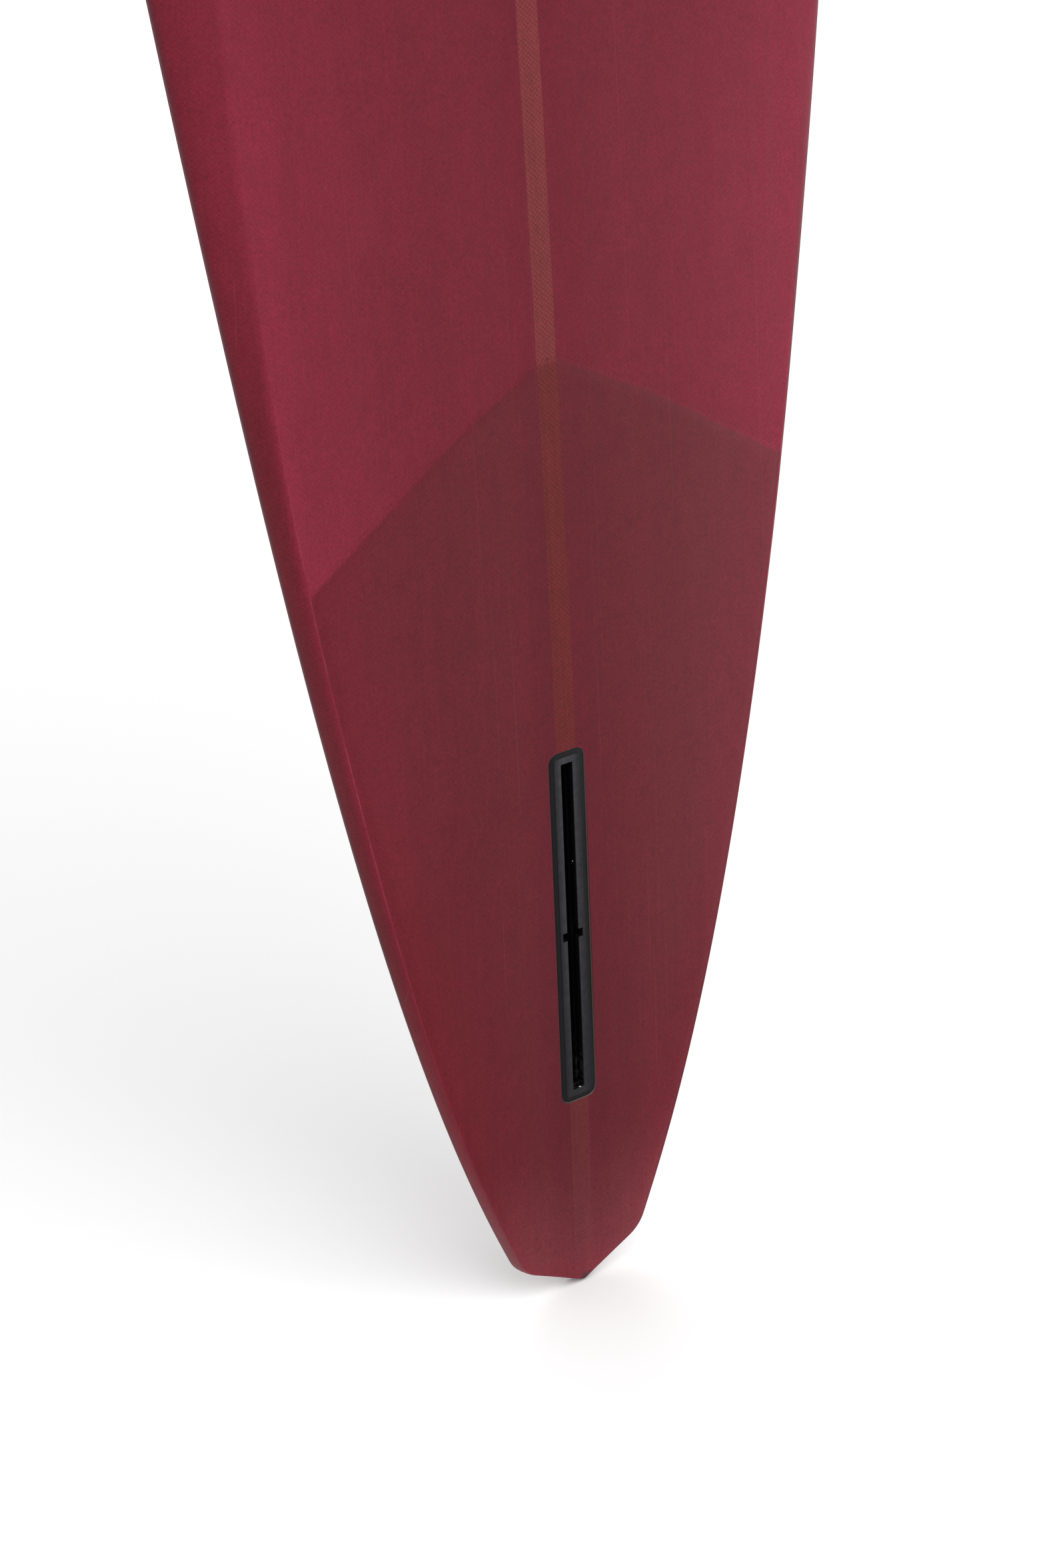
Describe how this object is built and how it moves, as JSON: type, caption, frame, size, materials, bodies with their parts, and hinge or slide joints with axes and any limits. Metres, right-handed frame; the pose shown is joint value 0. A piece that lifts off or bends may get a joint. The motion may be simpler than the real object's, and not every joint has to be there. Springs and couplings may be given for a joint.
{
  "type": "longboard surfboard",
  "caption": "Longboard surfboard with foam core, wooden stringer, tinted resin skins, diamond tail, long slotted centre fin box without a fin, and a leash cup in the deck.",
  "frame": {"origin": "on the floor under the middle of the board's bounding box, with the board upright on its tail tip", "axes": "+Z along the stringer from the tail to the nose, +Y from the bottom to the deck, +X across the board, to the right when the bottom is seen"},
  "size_m": [0.578, 0.134, 2.896],
  "materials": {
    "tinted_laminate": "satin",
    "tinted_patch": "satin",
    "foam": "matte",
    "stringer_wood": "matte",
    "fin_box_plastic": "satin",
    "potting_resin": "satin",
    "leash_cup_plastic": "gloss",
    "steel": "satin"
  },
  "bodies": {
    "root": {"bottom_laminate": "tinted_laminate", "deck_laminate": "tinted_laminate", "tail_patch": "tinted_patch", "deck_patch": "tinted_patch", "foam_core_left": "foam", "foam_core_right": "foam", "stringer": "stringer_wood", "fin_box": "fin_box_plastic", "fin_box_potting": "potting_resin", "leash_cup": "leash_cup_plastic", "leash_cup_potting": "potting_resin", "leash_pin": "steel"}
  },
  "joints": []
}
